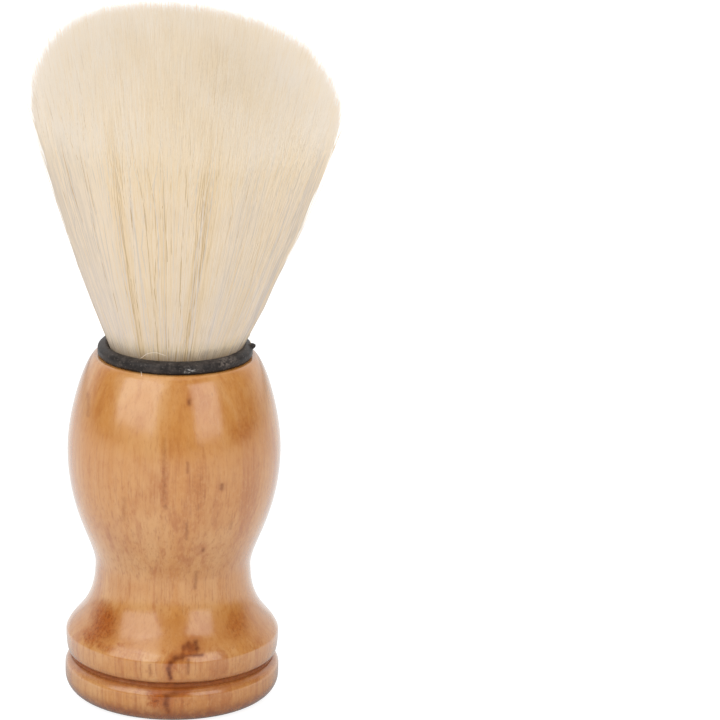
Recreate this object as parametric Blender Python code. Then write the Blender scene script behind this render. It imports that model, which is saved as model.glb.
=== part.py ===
"""Shaving brush: a turned wooden handle with a bristle knot glued into its drilled socket.

Six separate solids: handle, collar, bristles, knot_plug, binding_thread and glue_bed.
Metres, +Z up. The brush stands on z = 0 and the handle was turned about the Z axis.
"""

import math
import random

import bmesh
import bpy
from mathutils import Vector
from mathutils.geometry import interpolate_bezier

# Handle, from the foot up. Each height starts where the one before it ends.
FOOT_RADIUS = 0.0154
FOOT_HEIGHT = 0.0054
FOOT_BOTTOM_ROUND = 0.0027
FOOT_TOP_ROUND = 0.0014
GROOVE_HEIGHT = 0.0007
GROOVE_DEPTH = 0.0011
BEAD_RADIUS = 0.0153
BEAD_HEIGHT = 0.0027
BEAD_EDGE_ROUND = 0.0005
NECK_RADIUS = 0.01115
NECK_HEIGHT = 0.01045
BELLY_RADIUS = 0.0152
BELLY_HEIGHT = 0.0173
MOUTH_HEIGHT = 0.01375
MOUTH_LAND = 0.0002

# How far each curve of the handle runs straight before it turns, as a share of its height.
BEAD_PULL = 0.24
NECK_PULL_DOWN = 0.71
NECK_PULL_UP = 0.20
BELLY_PULL_DOWN = 0.55
BELLY_PULL_UP = 0.40
MOUTH_PULL = 0.10

# Where the rounds of foot and bead stop at the groove, in degrees from level.
GROOVE_EDGE_ANGLE = 66

# Socket drilled into the handle, with the cone that the drill's point leaves.
SOCKET_DEPTH = 0.0200
DRILL_POINT = 0.0025

# Collar: a rounded rim on the mouth of the handle and a thin spigot down into the socket.
COLLAR_RIM_HEIGHT = 0.00145
COLLAR_LIP = 0.0009
COLLAR_EDGE = 0.0004
COLLAR_WALL = 0.0007
COLLAR_DEPTH = 0.0045

# Clearance that glue fills, wherever two pieces seat.
GLUE_LINE = 0.0003

# Knot: its radius at the roots, and the slice of resin that the strands grow from.
KNOT_RADIUS = 0.0091
ROOT_SLICE = 0.0016
ROOT_RECESS = 0.0012
GLUE_BED_HEIGHT = 0.0015

# Binding thread, wound in a waist round the knot.
THREAD_DIAMETER = 0.0008
THREAD_GAP = 0.0005
THREAD_TURNS = 5
THREAD_POINTS_PER_TURN = 24

# Fan of bristles. Heights are taken from the face of the resin slice.
LOFT = 0.0489
FAN_RADIUS = 0.0216
FAN_WIDEST = 0.0341
FAN_FLARE = 0.46
FAN_CURVE = 1.6
FAN_DRIFT = 0.0018
FAN_DRIFT_POWER = 0.7
DOME_TILT = math.radians(6.5)
DOME_FULLNESS = 2.4
TIP_SCATTER = 0.0009

# Strands: 6 * rings * rings cells of a triangle lattice, one strand in each.
STRAND_RINGS = 8
LATTICE_SCATTER = 0.22
RING_SLIDE = 0.3
ROOT_FILL = 0.62
BODY_FILL = 0.70
TIP_FILL = 0.26
INNER_LEVELS = (0.55,)
OUTER_LEVELS = (0.45, 0.84)
OUTER_FROM = 0.74
SCATTER_SEED = 11

ROUND_SEGMENTS = 48
ROUND_POINTS = 5
CURVE_POINTS = 9
MERGE_DISTANCE = 0.000001
SHARP_ANGLE = math.radians(32)

# Places that follow from the sizes above.
BEAD_START = FOOT_HEIGHT + GROOVE_HEIGHT
BEAD_TOP = BEAD_START + BEAD_HEIGHT
NECK_TOP = BEAD_TOP + NECK_HEIGHT
BELLY_TOP = NECK_TOP + BELLY_HEIGHT
MOUTH_TOP = BELLY_TOP + MOUTH_HEIGHT
BORE_RADIUS = KNOT_RADIUS + GLUE_LINE
SPIGOT_RADIUS = BORE_RADIUS + COLLAR_WALL
COLLAR_CROWN = BORE_RADIUS + FAN_FLARE * ROOT_RECESS
COLLAR_RADIUS = max(SPIGOT_RADIUS, COLLAR_CROWN) + COLLAR_LIP
MOUTH_RADIUS = COLLAR_RADIUS + MOUTH_LAND
SOCKET_FLOOR = MOUTH_TOP - SOCKET_DEPTH
COLLAR_SEAT = MOUTH_TOP + GLUE_LINE
ROOT_FACE = COLLAR_SEAT + COLLAR_RIM_HEIGHT - ROOT_RECESS
PLUG_TOP = ROOT_FACE - ROOT_SLICE - GLUE_LINE
PLUG_BOTTOM = SOCKET_FLOOR + GLUE_BED_HEIGHT + GLUE_LINE
THREAD_PITCH = THREAD_DIAMETER + THREAD_GAP
WAIST_RADIUS = KNOT_RADIUS - THREAD_DIAMETER - 2 * GLUE_LINE
WAIST_HEIGHT = THREAD_TURNS * THREAD_PITCH + THREAD_DIAMETER + 2 * GLUE_LINE
WAIST_BOTTOM = (PLUG_BOTTOM + PLUG_TOP - WAIST_HEIGHT) / 2


def clear_scene():
    """Removes every object of the open scene."""
    for obj in list(bpy.data.objects):
        bpy.data.objects.remove(obj, do_unlink=True)


def finish(name, colour, roughness):
    """A plain non-metal material."""
    material = bpy.data.materials.new(name)
    material.use_nodes = True
    shader = material.node_tree.nodes["Principled BSDF"]
    shader.inputs["Base Color"].default_value = (*colour, 1.0)
    shader.inputs["Roughness"].default_value = roughness
    shader.inputs["Metallic"].default_value = 0.0
    return material


def place(name, data, material, height, parent):
    """Adds a sub-part at its height on the turning axis."""
    obj = bpy.data.objects.new(name, data)
    bpy.context.scene.collection.objects.link(obj)
    data.materials.append(material)
    obj.location.z = height
    obj.parent = parent
    return obj


def mesh_from(bm, name):
    """Turns the bmesh into a smooth-shaded mesh with its faces pointing out."""
    bmesh.ops.recalc_face_normals(bm, faces=bm.faces)
    mesh = bpy.data.meshes.new(name)
    bm.to_mesh(mesh)
    bm.free()
    mesh.shade_smooth()
    mesh.set_sharp_from_angle(angle=SHARP_ANGLE)
    return mesh


def turned(name, profile, closed=False):
    """Spins an outline of (radius, height) points about the Z axis."""
    bm = bmesh.new()
    verts = [bm.verts.new((radius, 0.0, height)) for radius, height in profile]
    edges = [bm.edges.new(pair) for pair in zip(verts, verts[1:])]
    if closed:
        edges.append(bm.edges.new((verts[-1], verts[0])))
    bmesh.ops.spin(
        bm,
        geom=verts + edges,
        cent=(0.0, 0.0, 0.0),
        axis=(0.0, 0.0, 1.0),
        angle=math.tau,
        steps=ROUND_SEGMENTS,
        use_merge=True,
    )
    bmesh.ops.remove_doubles(bm, verts=bm.verts, dist=MERGE_DISTANCE)
    return mesh_from(bm, name)


def arc(centre, radii, start, end):
    """Points of an elliptical arc of the outline, from one angle to the other in degrees."""
    made = []
    for index in range(ROUND_POINTS):
        angle = math.radians(start + (end - start) * index / (ROUND_POINTS - 1))
        made.append((centre[0] + radii[0] * math.cos(angle), centre[1] + radii[1] * math.sin(angle)))
    return made


def sweep(start, start_pull, end_pull, end):
    """A smooth stretch of the outline, without its first point."""
    corners = [Vector((*corner, 0.0)) for corner in (start, start_pull, end_pull, end)]
    return [(point.x, point.y) for point in interpolate_bezier(*corners, CURVE_POINTS + 1)[1:]]


def handle_outline():
    """The turned outside, from the middle of the base up to the mouth."""
    top_round = min(FOOT_TOP_ROUND, FOOT_HEIGHT / 2)
    bottom_round = min(FOOT_BOTTOM_ROUND, FOOT_HEIGHT - top_round)
    groove_radius = FOOT_RADIUS - GROOVE_DEPTH
    foot_low = (FOOT_RADIUS - bottom_round, bottom_round)
    foot_high = (FOOT_RADIUS - top_round, FOOT_HEIGHT - top_round)
    bead_low = (BEAD_RADIUS - BEAD_EDGE_ROUND, BEAD_TOP)
    mouth_pull = MOUTH_RADIUS + MOUTH_PULL * MOUTH_HEIGHT

    outline = [(0.0, 0.0)]
    outline += arc(foot_low, (bottom_round, bottom_round), -90, 0)
    outline += arc(foot_high, (top_round, top_round), 0, GROOVE_EDGE_ANGLE)
    outline.append((groove_radius, FOOT_HEIGHT))
    outline.append((groove_radius, BEAD_START))
    outline += arc(bead_low, (BEAD_EDGE_ROUND, BEAD_HEIGHT), -GROOVE_EDGE_ANGLE, 0)
    outline += sweep(
        (BEAD_RADIUS, BEAD_TOP),
        (BEAD_RADIUS, BEAD_TOP + BEAD_PULL * NECK_HEIGHT),
        (NECK_RADIUS, NECK_TOP - NECK_PULL_DOWN * NECK_HEIGHT),
        (NECK_RADIUS, NECK_TOP),
    )
    outline += sweep(
        (NECK_RADIUS, NECK_TOP),
        (NECK_RADIUS, NECK_TOP + NECK_PULL_UP * BELLY_HEIGHT),
        (BELLY_RADIUS, BELLY_TOP - BELLY_PULL_DOWN * BELLY_HEIGHT),
        (BELLY_RADIUS, BELLY_TOP),
    )
    outline += sweep(
        (BELLY_RADIUS, BELLY_TOP),
        (BELLY_RADIUS, BELLY_TOP + BELLY_PULL_UP * MOUTH_HEIGHT),
        (mouth_pull, MOUTH_TOP),
        (MOUTH_RADIUS, MOUTH_TOP),
    )
    return outline


def handle():
    """Turned wood with a stepped, drilled socket: the wide step takes the collar's spigot."""
    step_radius = SPIGOT_RADIUS + GLUE_LINE
    step_floor = MOUTH_TOP - COLLAR_DEPTH
    socket = [
        (step_radius, MOUTH_TOP),
        (step_radius, step_floor),
        (BORE_RADIUS, step_floor),
        (BORE_RADIUS, SOCKET_FLOOR),
        (0.0, SOCKET_FLOOR - DRILL_POINT),
    ]
    return turned("handle", handle_outline() + socket)


def collar():
    """Moulded ring, with heights from the underside of its rim. Its mouth flares with the fan."""
    foot = GLUE_LINE - COLLAR_DEPTH
    waist = COLLAR_RIM_HEIGHT / 2
    outline = [(SPIGOT_RADIUS, foot), (SPIGOT_RADIUS, 0.0)]
    outline += arc((COLLAR_RADIUS - COLLAR_EDGE, COLLAR_EDGE), (COLLAR_EDGE, COLLAR_EDGE), -90, 0)
    outline += arc((COLLAR_CROWN, waist), (COLLAR_RADIUS - COLLAR_CROWN, waist), 0, 90)
    flare = arc(
        (COLLAR_CROWN, COLLAR_RIM_HEIGHT - ROOT_RECESS),
        (COLLAR_CROWN - BORE_RADIUS, ROOT_RECESS),
        90,
        180,
    )
    outline += flare[1:]
    outline.append((BORE_RADIUS, foot))
    return turned("collar", outline, closed=True)


def knot_plug():
    """Resin round the bristle roots, with heights from its own foot."""
    height = PLUG_TOP - PLUG_BOTTOM
    waist = WAIST_BOTTOM - PLUG_BOTTOM
    outline = [
        (0.0, 0.0),
        (KNOT_RADIUS, 0.0),
        (KNOT_RADIUS, waist),
        (WAIST_RADIUS, waist),
        (WAIST_RADIUS, waist + WAIST_HEIGHT),
        (KNOT_RADIUS, waist + WAIST_HEIGHT),
        (KNOT_RADIUS, height),
        (0.0, height),
    ]
    return turned("knot_plug", outline)


def glue_bed():
    """Set glue that fills the drill's cone, with heights from the socket's floor."""
    outline = [
        (0.0, GLUE_LINE - DRILL_POINT),
        (KNOT_RADIUS, GLUE_LINE),
        (KNOT_RADIUS, GLUE_BED_HEIGHT),
        (0.0, GLUE_BED_HEIGHT),
    ]
    return turned("glue_bed", outline)


def thread_route():
    """Points of the winding, with a straight end of one thread diameter at each side."""
    radius = WAIST_RADIUS + GLUE_LINE + THREAD_DIAMETER / 2
    start_height = GLUE_LINE + THREAD_DIAMETER / 2
    route = []
    for index in range(THREAD_TURNS * THREAD_POINTS_PER_TURN + 1):
        turn = index / THREAD_POINTS_PER_TURN
        angle = turn * math.tau
        height = start_height + turn * THREAD_PITCH
        route.append(Vector((radius * math.cos(angle), radius * math.sin(angle), height)))
    first_end = route[0] - Vector((0.0, THREAD_DIAMETER, 0.0))
    last_end = route[-1] + Vector((0.0, THREAD_DIAMETER, 0.0))
    return [first_end, *route, last_end]


def least_gap(route):
    """Least clear distance between two turns of the winding, measured on its points."""
    apart = THREAD_POINTS_PER_TURN // 2
    nearest = min(
        (point - other).length
        for index, point in enumerate(route)
        for other in route[index + apart:]
    )
    return nearest - THREAD_DIAMETER


def binding_thread():
    """One unbroken thread wound round the knot's waist."""
    route = thread_route()
    print(f"binding_thread: least gap to itself {least_gap(route) * 1000:.2f} mm")
    curve = bpy.data.curves.new("binding_thread", "CURVE")
    curve.dimensions = "3D"
    curve.bevel_depth = THREAD_DIAMETER / 2
    curve.bevel_resolution = 1
    curve.use_fill_caps = True
    spline = curve.splines.new("POLY")
    spline.points.add(len(route) - 1)
    for point, position in zip(spline.points, route):
        point.co = (*position, 1.0)
    return curve


def fan_radius(height):
    """Radius of the bundle at a height over the roots: it flares, then turns upright."""
    drawn_in = (KNOT_RADIUS + FAN_FLARE * FAN_WIDEST - FAN_RADIUS) / FAN_WIDEST**FAN_CURVE
    return KNOT_RADIUS + FAN_FLARE * height - drawn_in * height**FAN_CURVE


def along_fan(root, height):
    """Where the bristle that grows from this root point has got to at a height."""
    spread = fan_radius(height) / KNOT_RADIUS
    drift = FAN_DRIFT * (height / LOFT) ** FAN_DRIFT_POWER
    return Vector((root.x * spread + drift, root.y * spread, height))


def dome_height(root, height):
    """Height of the cut dome over the place that this bristle has reached."""
    spread = fan_radius(height) / KNOT_RADIUS
    share = min(root.length * spread / FAN_RADIUS, 1.0)
    cap = (1.0 - share**DOME_FULLNESS) ** (1.0 / DOME_FULLNESS)
    return FAN_WIDEST + (LOFT - FAN_WIDEST) * cap - math.tan(DOME_TILT) * root.x * spread


def tip_height(root):
    """Height at which this bristle meets the dome, found by halving."""
    low, high = FAN_WIDEST / 2, 2 * LOFT
    for _ in range(40):
        middle = (low + high) / 2
        if dome_height(root, middle) > middle:
            low = middle
        else:
            high = middle
    return low


def root_lattice(bm, scatter):
    """Disc of triangles in rings of 6, 12, 18 and more points, loosened a little."""
    step = KNOT_RADIUS / STRAND_RINGS
    rings = [[bm.verts.new((0.0, 0.0, 0.0))]]
    for ring in range(1, STRAND_RINGS + 1):
        loose = 0.0 if ring == STRAND_RINGS else LATTICE_SCATTER * step
        ring_slide = RING_SLIDE * scatter.uniform(-1, 1)
        points = []
        for index in range(6 * ring):
            slide = ring_slide + LATTICE_SCATTER * scatter.uniform(-1, 1)
            angle = math.tau * (index + slide) / (6 * ring)
            radius = ring * step + loose * scatter.uniform(-1, 1)
            points.append(bm.verts.new((radius * math.cos(angle), radius * math.sin(angle), 0.0)))
        rings.append(points)
    for ring in range(1, STRAND_RINGS + 1):
        inner, outer = rings[ring - 1], rings[ring]
        for sixth in range(6):
            for index in range(ring):
                near = inner[(sixth * (ring - 1) + index) % len(inner)]
                left = outer[sixth * ring + index]
                right = outer[(sixth * ring + index + 1) % len(outer)]
                bm.faces.new((near, left, right))
                if index < ring - 1:
                    bm.faces.new((near, right, inner[(sixth * (ring - 1) + index + 1) % len(inner)]))
    return list(bm.faces)


def grow_strand(bm, cell, scatter):
    """Insets one cell of the root face and draws it out along the fan to a fine tip."""
    corners = [vert.co.copy() for vert in cell.verts]
    middle = sum(corners, Vector()) / len(corners)
    reach = tip_height(middle) - TIP_SCATTER * scatter.random()
    outer = middle.length > OUTER_FROM * KNOT_RADIUS
    levels = [(level * reach, BODY_FILL) for level in (OUTER_LEVELS if outer else INNER_LEVELS)]
    bmesh.ops.inset_individual(bm, faces=[cell], thickness=KNOT_RADIUS / STRAND_RINGS / 10)
    for height, fill in [(0.0, ROOT_FILL), *levels, (reach, TIP_FILL)]:
        if height > 0.0:
            cell = bmesh.ops.extrude_discrete_faces(bm, faces=[cell])["faces"][0]
        for vert, corner in zip(cell.verts, corners):
            vert.co = along_fan(middle.lerp(corner, fill), height)


def bristles():
    """All strands, fused to the slice of resin that they grow from."""
    scatter = random.Random(SCATTER_SEED)
    bm = bmesh.new()
    cells = root_lattice(bm, scatter)
    rim = [edge for edge in bm.edges if edge.is_boundary]
    wall = bmesh.ops.extrude_edge_only(bm, edges=rim)["geom"]
    low_rim = [item for item in wall if isinstance(item, bmesh.types.BMVert)]
    bmesh.ops.translate(bm, verts=low_rim, vec=(0.0, 0.0, -ROOT_SLICE))
    bmesh.ops.holes_fill(bm, edges=[edge for edge in bm.edges if edge.is_boundary])
    for cell in cells:
        grow_strand(bm, cell, scatter)
    print(f"bristles: {len(cells)} strands")
    return mesh_from(bm, "bristles")


def build():
    """Makes every sub-part and stands it in its place."""
    clear_scene()
    brush = bpy.data.objects.new("shaving_brush", None)
    bpy.context.scene.collection.objects.link(brush)
    wood = finish("lacquered_wood", (0.62, 0.30, 0.09), 0.22)
    black = finish("black_plastic", (0.02, 0.02, 0.021), 0.45)
    hair = finish("pale_bristle", (0.83, 0.72, 0.52), 0.6)
    resin = finish("cast_resin", (0.55, 0.40, 0.18), 0.35)
    cotton = finish("waxed_thread", (0.72, 0.66, 0.52), 0.8)
    glue = finish("set_glue", (0.70, 0.62, 0.40), 0.4)
    place("handle", handle(), wood, 0.0, brush)
    place("collar", collar(), black, COLLAR_SEAT, brush)
    place("bristles", bristles(), hair, ROOT_FACE, brush)
    place("knot_plug", knot_plug(), resin, PLUG_BOTTOM, brush)
    place("binding_thread", binding_thread(), cotton, WAIST_BOTTOM, brush)
    place("glue_bed", glue_bed(), glue, SOCKET_FLOOR, brush)


build()
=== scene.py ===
"""Shaving brush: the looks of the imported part, laid out as an add-on and run as a script."""

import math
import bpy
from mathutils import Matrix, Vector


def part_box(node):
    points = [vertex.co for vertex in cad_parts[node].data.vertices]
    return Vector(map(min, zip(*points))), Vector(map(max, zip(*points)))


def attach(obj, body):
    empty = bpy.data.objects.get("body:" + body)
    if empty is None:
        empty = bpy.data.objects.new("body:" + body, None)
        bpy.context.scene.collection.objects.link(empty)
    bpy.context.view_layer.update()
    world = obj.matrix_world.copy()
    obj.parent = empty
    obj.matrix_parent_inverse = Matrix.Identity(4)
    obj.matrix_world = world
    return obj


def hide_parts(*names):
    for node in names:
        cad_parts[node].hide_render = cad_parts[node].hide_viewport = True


bl_info = {
    "name": "Shaving Brush",
    "version": (1, 0, 0),
    "blender": (4, 5, 0),
    "location": "3D View > Sidebar > Shaving Brush",
    "description": "Turns the lacquered handle, moulds the collar and fills the knot with fine bristles",
    "category": "Object",
}

import bmesh
import bpy
import numpy as np
from bpy.props import FloatProperty, FloatVectorProperty, IntProperty, PointerProperty
from bpy.types import Operator, Panel, PropertyGroup
from mathutils import Matrix, Vector
from mathutils.geometry import interpolate_bezier

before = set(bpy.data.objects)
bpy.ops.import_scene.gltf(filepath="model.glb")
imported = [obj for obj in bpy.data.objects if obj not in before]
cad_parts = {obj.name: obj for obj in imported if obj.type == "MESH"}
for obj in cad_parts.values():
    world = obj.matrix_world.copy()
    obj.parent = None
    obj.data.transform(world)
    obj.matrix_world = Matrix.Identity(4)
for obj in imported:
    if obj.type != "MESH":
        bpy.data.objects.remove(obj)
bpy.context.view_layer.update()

HANDLE_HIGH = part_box("handle")[1]
COLLAR_LOW, COLLAR_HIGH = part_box("collar")
BRISTLES_LOW, BRISTLES_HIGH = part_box("bristles")
THREAD_LOW, THREAD_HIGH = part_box("binding_thread")

BODY = "root"
MILLIMETRE = 0.001
MERGE_DISTANCE = 0.000001
SHARP_ANGLE = math.radians(40)

# Handle, from the foot up, as in the part's source. Each height starts where the last one ends.
FOOT_HEIGHT = 0.0054
FOOT_BOTTOM_ROUND = 0.0027
FOOT_TOP_ROUND = 0.0014
GROOVE_HEIGHT = 0.0007
GROOVE_DEPTH = 0.0011
GROOVE_EDGE_ANGLE = 66
BEAD_HEIGHT = 0.0027
BEAD_EDGE_ROUND = 0.0005
BEAD_BAND_RISE = 0.0004
BEAD_CREASE_DROP = 0.00004
BEAD_SHOULDER = 0.17
NECK_HEIGHT = 0.01045
BELLY_HEIGHT = 0.0173
MOUTH_LAND = 0.0002
MOUTH_TOP = HANDLE_HIGH.z
BEAD_PULL = 0.24
NECK_PULL_DOWN = 0.71
NECK_PULL_UP = 0.20
BELLY_PULL_DOWN = 0.55
BELLY_PULL_UP = 0.40
MOUTH_PULL = 0.10
SOCKET_DEPTH = 0.0200
DRILL_POINT = 0.0025
ROUND_POINTS = 11
CURVE_POINTS = 30

# Collar and the seats under it.
COLLAR_WALL = 0.0007
COLLAR_DEPTH = 0.0045
COLLAR_EDGE = 0.0004
COLLAR_SEAT_GAP = 0.00002
COLLAR_RIM_TOP = COLLAR_HIGH.z
GLUE_LINE = 0.0003
MOULD_UNEVENNESS = 0.00008
MOULD_PATCH = 0.0025

# Nib on the rim: the shares of the rim's height between which it grows, how steep a face it grows
# from, how far it leans up, and the rise and shrinkage of each step.
NIB_ANGLE = math.radians(-3)
NIB_HALF_ANGLE = math.radians(2.4)
NIB_BAND = (0.6, 0.97)
NIB_FACING = 0.3
NIB_LEAN = 0.35
NIB_STEPS = ((0.45, 0.85), (0.35, 0.75), (0.2, 0.5))

# Fan of bristles: heights are taken from the face of the resin slice.
KNOT_RADIUS = 0.0091
ROOT_SLICE = 0.0016
SLICE_EDGE = 0.0002
ROOT_FACE = BRISTLES_LOW.z + ROOT_SLICE
ROOT_RECESS = COLLAR_RIM_TOP - ROOT_FACE
BORE_RADIUS = KNOT_RADIUS + GLUE_LINE
FAN_WIDEST = 0.0341
FAN_FLARE = 0.46
FAN_CURVE = 1.6
FAN_DRIFT = 0.0018
FAN_DRIFT_POWER = 0.7
DOME_TILT = math.radians(6.5)
DOME_FULLNESS = 2.4
COLLAR_CROWN = BORE_RADIUS + FAN_FLARE * ROOT_RECESS

# Strands: stations along each one, and the shares of its full width at all but the tip.
STATIONS = (0.0, 0.1, 0.21, 0.36, 0.54, 0.72, 0.88, 1.0)
STATION_WIDTHS = (0.7, 0.9, 1.0, 1.0, 1.0, 0.85, 0.55)
STRAND_CORNERS = (math.radians(-60), math.radians(60), math.radians(180))
STRAND_TWIST = math.radians(12)
STRAND_ROUNDNESS = 0.25
NORMAL_LIFT = 0.78
CROWN_LIFT = 0.93
CROWN_START = 0.7
RIM_START = 0.94
RIM_CURL = 0.02
RIM_CURL_START = 0.84
KNOT_SECTORS = 10
GOLDEN_ANGLE = math.pi * (3 - math.sqrt(5))
ROOT_CROWDING = 0.42
ROOT_BURY = 0.0008
ROOT_FULLNESS = 0.0001
SCATTER_SEED = 7
NEAREST_BATCH = 2000
MAP_MARGIN = 0.01
MAP_FOOT = 0.005
TONE_WIDTH = 0.002

# Scatter of the bristles. Places are shares of the bundle's radius, lengths are in metres and tones run
# from 0 to 1. The slack and the two leans have the loose bristles first and the common ones second.
LOOSE_SHARE = 0.05
ROOT_SCATTER = 0.006
LOCK_SCATTER = 0.018
LOCK_SWAY = 0.016
LOCK_TONE = 0.1
LOCK_TRIM = 0.0001
GATHER_SKEW = 0.8
GATHER_POWER = 1.2
LEAN_OUTWARD = (0.05, 0.018)
LEAN_SIDEWAYS = (0.08, 0.04)
LEAN_POWER = 1.4
BOW = 0.012
WAVES = (1.0, 2.4)
WAVE_START = 0.2
SLACK = (0.06, 0.016)
SLACK_ON_RIGHT = 0.7
OUTER_START = 0.7
TRIM = 0.0005
TRIM_AT_RIM = 0.6
TRIM_MOST = 0.005
OVERLONG_SHARE = 0.1
OVERLONG = 0.0005
OVERLONG_MOST = 0.002
TIP_RAISE = 0.0004
GIRTHS = (0.75, 1.25)
TONE_MIDDLE = 0.46
TONE_AT_SIDES = 0.4
TONE_IN_FRONT = 0.08
TONE_BEHIND = 0.18
TONE_SCATTER = 0.11
TONE_ENDS = (0.03, 0.97)
DARK_SHARE = 0.02
DARK_TONES = (0.02, 0.1)
FRINGE_SHARE = 0.03
FRINGE_BOW = 0.02
FRINGE_SLACK = 0.03
FRINGE_TONE = 0.9

# Stray hairs: the tone of each and a few points in millimetres. They lie beside the nib, over the
# rim, under it and across the fan.
STRAYS = (
    (0.05, ((10.6, -2.0, 52.3), (10.5, -2.0, 53.9), (10.7, -2.1, 55.4))),
    (0.85, ((-5.0, -9.3, 52.1), (-4.0, -9.8, 53.1), (-2.8, -10.2, 53.5), (-1.2, -10.7, 53.1))),
    (0.80, ((-4.7, -10.35, 50.7), (-4.65, -10.5, 50.4), (-4.6, -10.65, 50.1))),
    (0.90, ((-2.5, -13.4, 65.3), (-1.5, -13.7, 65.8), (-0.5, -13.8, 65.7), (-0.1, -13.5, 65.2))),
)
STRAY_WIDTH = 0.00006

# Binding thread, two plies twisted together.
THREAD_DIAMETER = 0.0008
THREAD_TURNS = 5
THREAD_POINTS_PER_TURN = 72
PLY_TWISTS_PER_TURN = 16

# Floor and studio. A belt starts at the first of its values, is full between the two in the middle and
# ends at the last. Floor places are in metres, and studio ones are parts of a direction of length 1.
FLOOR_SIZE = 6.0
FLOOR_DIM = (0.3, 0.3, 0.3)
FLOOR_GLOW = 0.85
FLOOR_NEAR = (0.012, 0.04, 0.12, 0.7)
FLOOR_FRONT = (-0.05, -0.09)
FLOOR_FRONT_DIMS = 0.25
MIRRORED_FAR = 0.12
MIRRORED_NEAR = 0.43
WHITE = (1.0, 1.0, 1.0)
BACKDROP = (0.1, 0.65)
BACKDROP_LIGHT = 0.85
STRIP = (0.87, 0.91, 0.96, 0.985)
STRIP_LIGHT = 0.65
CARD_UP = (0.70, 0.76, 0.88, 0.93)
CARD_ACROSS = (-0.60, -0.50, -0.25, -0.15)
CARD_FRONT = (0.0, -0.1)
CARD_LIGHT = 1.2
STUDIO_DARK = 0.08
SOFT_FILL = 0.48
CEILING = (-0.1, 0.9)
CEILING_FILL = 0.92
RIGHT_SIDE = (-0.2, 1.0)
RIGHT_DIMS = 0.11
LIGHT_AIM = (0.0, 0.0, 0.05)
LIGHT_DISTANCE = 0.5
IMAGE_WIDTH = 720
SENSOR_WIDTH = 36.0
CLIP_START = 0.01


class Wire:
    """A socket of a node tree. Python's operators on it add the Math nodes they stand for."""

    def __init__(self, tree, socket=None):
        self.tree = tree
        self.socket = socket

    def node(self, kind, settings=None, sockets=None, output=0):
        """Adds any node: its settings first, then the values or links of its sockets."""
        made = self.tree.nodes.new(kind)
        for name, setting in (settings or {}).items():
            if name == "stops":
                fill_ramp(made.color_ramp, setting)
            else:
                setattr(made, name, setting)
        for name, value in (sockets or {}).items():
            socket = made.inputs[name]
            if isinstance(value, Wire):
                self.tree.links.new(value.socket, socket)
            elif socket.type == "RGBA":
                socket.default_value = (*value[:3], 1.0)
            else:
                socket.default_value = value
        return Wire(self.tree, made.outputs[output] if made.outputs else None)

    def math(self, operation, *operands):
        return self.node("ShaderNodeMath", {"operation": operation}, dict(enumerate(operands)))

    def vector(self, operation, *operands, output=0):
        sockets = dict(enumerate((self, *operands)))
        return self.node("ShaderNodeVectorMath", {"operation": operation}, sockets, output)

    def axis(self, name):
        """One of the three parts of a vector."""
        return self.node("ShaderNodeSeparateXYZ", None, {0: self}, name)

    def __add__(self, other):
        return self.math("ADD", self, other)

    def __sub__(self, other):
        return self.math("SUBTRACT", self, other)

    def __rsub__(self, other):
        return self.math("SUBTRACT", other, self)

    def __mul__(self, other):
        return self.math("MULTIPLY", self, other)

    __radd__ = __add__
    __rmul__ = __mul__


def fill_ramp(ramp, stops):
    """Sets a colour ramp's stops from (position, colour) pairs."""
    while len(ramp.elements) < len(stops):
        ramp.elements.new(1.0)
    for element, (position, colour) in zip(ramp.elements, stops):
        element.position = position
        element.color = (*colour[:3], 1.0)


def smooth(value, low, high):
    """0 at low, 1 at high and a soft step between them."""
    settings = {"interpolation_type": "SMOOTHSTEP"}
    sockets = {"Value": value, "From Min": low, "From Max": high}
    return value.node("ShaderNodeMapRange", settings, sockets)


def belt(value, low, full_from, full_to, high):
    """1 between the two middle values, with a soft step to 0 at the outer ones."""
    return smooth(value, low, full_from) * smooth(value, high, full_to)


def largest(values):
    """The largest of several values at each place, the first of which is a wire."""
    found, *others = values
    for other in others:
        found = found.math("MAXIMUM", found, other)
    return found


def noise(place, scale, detail=2.0, roughness=0.5, distortion=0.0):
    """Soft noise, from 0 to 1, on a place in millimetres."""
    sockets = {
        "Vector": place,
        "Scale": scale,
        "Detail": detail,
        "Roughness": roughness,
        "Distortion": distortion,
    }
    return place.node("ShaderNodeTexNoise", None, sockets, "Fac")


def tint(under, over, share, mode="MIX"):
    """Lays one colour over another by a share from 0 to 1."""
    start = next(item for item in (share, under, over) if isinstance(item, Wire))
    settings = {"data_type": "RGBA", "blend_type": mode}
    return start.node("ShaderNodeMix", settings, {0: share, 6: under, 7: over}, 2)


def mark(place, centre, radii, core=0.3):
    """A soft oval patch in the material: 1 in its middle and 0 past its radii."""
    away = place.vector("SUBTRACT", centre).vector("DIVIDE", radii)
    return smooth(away.vector("LENGTH", output="Value"), 1.0, core)


def new_finish(name):
    """An empty material and a wire to start its nodes from."""
    material = bpy.data.materials.new(name)
    material.use_nodes = True
    material.node_tree.nodes.clear()
    return material, Wire(material.node_tree)


def object_millimetres(start):
    """The place on the piece in millimetres."""
    place = start.node("ShaderNodeTexCoord", output="Object")
    return place.vector("MULTIPLY", (1 / MILLIMETRE,) * 3)


def close_finish(material, start, sockets):
    """Ends a material in one Principled shader with these values and links."""
    shader = start.node("ShaderNodeBsdfPrincipled", None, sockets)
    start.node("ShaderNodeOutputMaterial", None, {"Surface": shader})
    return material


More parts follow.
